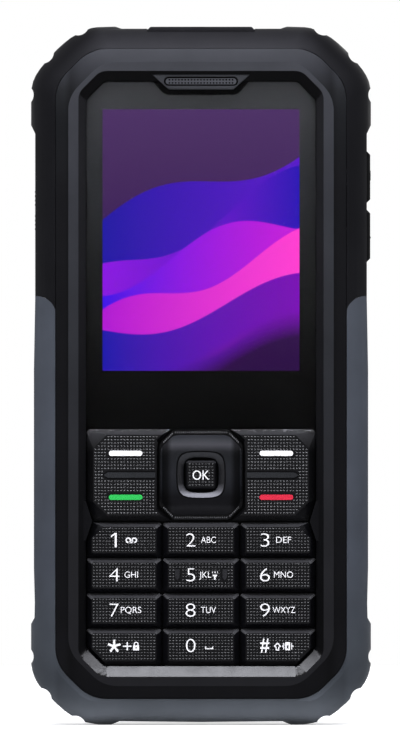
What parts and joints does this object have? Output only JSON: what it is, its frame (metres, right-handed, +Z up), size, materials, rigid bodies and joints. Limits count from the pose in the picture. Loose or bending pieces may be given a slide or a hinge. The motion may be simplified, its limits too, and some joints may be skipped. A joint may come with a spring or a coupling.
{
  "type": "feature phone",
  "caption": "Upright rugged feature phone with scalloped corner bumpers, a display, a numeric keypad, side keys, port flaps and a removable battery cover.",
  "frame": {"origin": "middle of the bounding box's base, between the two lower corner feet", "axes": "display faces -Y, +X to the viewer's right, +Z up along the length"},
  "size_m": [0.0632, 0.0156, 0.13],
  "materials": {
    "black_plastic": "fine-textured black polycarbonate",
    "black_bumper": "black rubbery overmould, satin",
    "slate_bumper": "slate grey rubbery overmould, satin",
    "cover_plastic": "textured black plastic",
    "key_plastic": "black plastic with a studded top",
    "nav_plastic": "satin black plastic",
    "side_key": "satin black plastic",
    "earpiece_plastic": "satin dark grey plastic",
    "torch_plastic": "satin black plastic",
    "contact_plastic": "black connector plastic",
    "flap_rubber": "black soft rubber",
    "membrane": "black silicone",
    "seal": "soft silicone",
    "lens": "polished clear lens over the display",
    "clear_lens": "polished clear plastic",
    "dark_glass": "coated lens",
    "display": "lit colour display",
    "steel": "plain stamped steel",
    "grille_metal": "black coated perforated metal",
    "bezel_metal": "dark satin ring",
    "led": "yellow phosphor",
    "board": "green solder mask",
    "battery_wrap": "plain dark wrap",
    "copper_foil": "copper foil"
  },
  "bodies": {
    "phone_body": {"front_housing": "black_plastic", "rear_housing": "black_plastic", "upper_bumper": "black_bumper", "lower_bumper": "slate_bumper", "battery_cover_gasket": "seal", "display_lens": "lens", "lcd_panel": "display", "lcd_frame": "steel", "earpiece_bezel": "earpiece_plastic", "earpiece_grille": "grille_metal", "earpiece_receiver": "steel", "key_membrane": "membrane", "dome_sheet": "steel", "side_switches": "steel", "usb_connector": "steel", "audio_jack": "black_plastic", "torch_bezel": "torch_plastic", "torch_lens": "clear_lens", "torch_led": "led", "camera_bezel": "bezel_metal", "camera_lens": "dark_glass", "camera_module": "black_plastic", "flash_lens": "clear_lens", "flash_led": "led", "loudspeaker": "black_plastic", "speaker_grille": "grille_metal", "main_board": "board", "shield_cans": "steel", "battery": "battery_wrap", "battery_contacts": "contact_plastic", "sim_card_holder": "steel", "vibration_motor": "steel", "microphone": "steel", "antenna": "copper_foil", "housing_screws": "steel"},
    "key_1": {"key_1": "key_plastic"},
    "key_2": {"key_2": "key_plastic"},
    "key_3": {"key_3": "key_plastic"},
    "key_4": {"key_4": "key_plastic"},
    "key_5": {"key_5": "key_plastic"},
    "key_6": {"key_6": "key_plastic"},
    "key_7": {"key_7": "key_plastic"},
    "key_8": {"key_8": "key_plastic"},
    "key_9": {"key_9": "key_plastic"},
    "key_star": {"key_star": "key_plastic"},
    "key_0": {"key_0": "key_plastic"},
    "key_hash": {"key_hash": "key_plastic"},
    "ok_key": {"ok_key": "key_plastic"},
    "nav_ring": {"nav_ring": "nav_plastic"},
    "nav_carrier": {"nav_carrier": "key_plastic"},
    "left_function_key": {"left_function_key": "key_plastic"},
    "right_function_key": {"right_function_key": "key_plastic"},
    "volume_up_key": {"volume_up_key": "side_key"},
    "volume_down_key": {"volume_down_key": "side_key"},
    "usb_port_flap": {"usb_port_flap": "flap_rubber"},
    "audio_port_flap": {"audio_port_flap": "flap_rubber"},
    "battery_cover": {"battery_cover": "cover_plastic"},
    "cover_lock_left": {"cover_lock_left": "steel"},
    "cover_lock_right": {"cover_lock_right": "steel"}
  },
  "joints": [
    {"name": "key_1_press", "type": "slide", "parent": "phone_body", "child": "key_1", "axis": [0, 1, 0], "range_m": [0, 0.0004], "stiffness_N_per_m": 1000},
    {"name": "key_2_press", "type": "slide", "parent": "phone_body", "child": "key_2", "axis": [0, 1, 0], "range_m": [0, 0.0004], "stiffness_N_per_m": 1000},
    {"name": "key_3_press", "type": "slide", "parent": "phone_body", "child": "key_3", "axis": [0, 1, 0], "range_m": [0, 0.0004], "stiffness_N_per_m": 1000},
    {"name": "key_4_press", "type": "slide", "parent": "phone_body", "child": "key_4", "axis": [0, 1, 0], "range_m": [0, 0.0004], "stiffness_N_per_m": 1000},
    {"name": "key_5_press", "type": "slide", "parent": "phone_body", "child": "key_5", "axis": [0, 1, 0], "range_m": [0, 0.0004], "stiffness_N_per_m": 1000},
    {"name": "key_6_press", "type": "slide", "parent": "phone_body", "child": "key_6", "axis": [0, 1, 0], "range_m": [0, 0.0004], "stiffness_N_per_m": 1000},
    {"name": "key_7_press", "type": "slide", "parent": "phone_body", "child": "key_7", "axis": [0, 1, 0], "range_m": [0, 0.0004], "stiffness_N_per_m": 1000},
    {"name": "key_8_press", "type": "slide", "parent": "phone_body", "child": "key_8", "axis": [0, 1, 0], "range_m": [0, 0.0004], "stiffness_N_per_m": 1000},
    {"name": "key_9_press", "type": "slide", "parent": "phone_body", "child": "key_9", "axis": [0, 1, 0], "range_m": [0, 0.0004], "stiffness_N_per_m": 1000},
    {"name": "key_star_press", "type": "slide", "parent": "phone_body", "child": "key_star", "axis": [0, 1, 0], "range_m": [0, 0.0004], "stiffness_N_per_m": 1000},
    {"name": "key_0_press", "type": "slide", "parent": "phone_body", "child": "key_0", "axis": [0, 1, 0], "range_m": [0, 0.0004], "stiffness_N_per_m": 1000},
    {"name": "key_hash_press", "type": "slide", "parent": "phone_body", "child": "key_hash", "axis": [0, 1, 0], "range_m": [0, 0.0004], "stiffness_N_per_m": 1000},
    {"name": "ok_press", "type": "slide", "parent": "phone_body", "child": "ok_key", "axis": [0, 1, 0], "range_m": [0, 0.0004], "stiffness_N_per_m": 1000},
    {"name": "nav_up_down", "type": "hinge", "parent": "phone_body", "child": "nav_carrier", "pos_m": [0, -0.0054, 0.04655], "axis": [1, 0, 0], "range_deg": [-2, 2], "stiffness_Nm_per_rad": 0.3},
    {"name": "nav_left_right", "type": "hinge", "parent": "nav_carrier", "child": "nav_ring", "pos_m": [0, -0.0064, 0.04655], "axis": [0, 0, 1], "range_deg": [-2, 2], "stiffness_Nm_per_rad": 0.3},
    {"name": "left_function_rock", "type": "hinge", "parent": "phone_body", "child": "left_function_key", "pos_m": [-0.014, -0.0055, 0.04655], "axis": [1, 0, 0], "range_deg": [-2, 2], "stiffness_Nm_per_rad": 0.3},
    {"name": "right_function_rock", "type": "hinge", "parent": "phone_body", "child": "right_function_key", "pos_m": [0.014, -0.0055, 0.04655], "axis": [1, 0, 0], "range_deg": [-2, 2], "stiffness_Nm_per_rad": 0.3},
    {"name": "volume_up_press", "type": "slide", "parent": "phone_body", "child": "volume_up_key", "axis": [-1, 0, 0], "range_m": [0, 0.0005], "stiffness_N_per_m": 1000},
    {"name": "volume_down_press", "type": "slide", "parent": "phone_body", "child": "volume_down_key", "axis": [-1, 0, 0], "range_m": [0, 0.0005], "stiffness_N_per_m": 1000},
    {"name": "usb_flap_hinge", "type": "hinge", "parent": "phone_body", "child": "usb_port_flap", "pos_m": [-0.03085, 0.0019, 0.107], "axis": [0, 1, 0], "range_deg": [0, 100]},
    {"name": "audio_flap_hinge", "type": "hinge", "parent": "phone_body", "child": "audio_port_flap", "pos_m": [-0.03085, 0.0019, 0.086], "axis": [0, -1, 0], "range_deg": [0, 100]},
    {"name": "cover_slide", "type": "slide", "parent": "phone_body", "child": "battery_cover", "axis": [0, 1, 0], "range_m": [0, 0.03]},
    {"name": "left_lock_turn", "type": "hinge", "parent": "battery_cover", "child": "cover_lock_left", "pos_m": [-0.019, 0.0078, 0.0144], "axis": [0, 1, 0], "range_deg": [0, 90]},
    {"name": "right_lock_turn", "type": "hinge", "parent": "battery_cover", "child": "cover_lock_right", "pos_m": [0.019, 0.0078, 0.0144], "axis": [0, 1, 0], "range_deg": [0, 90]}
  ]
}
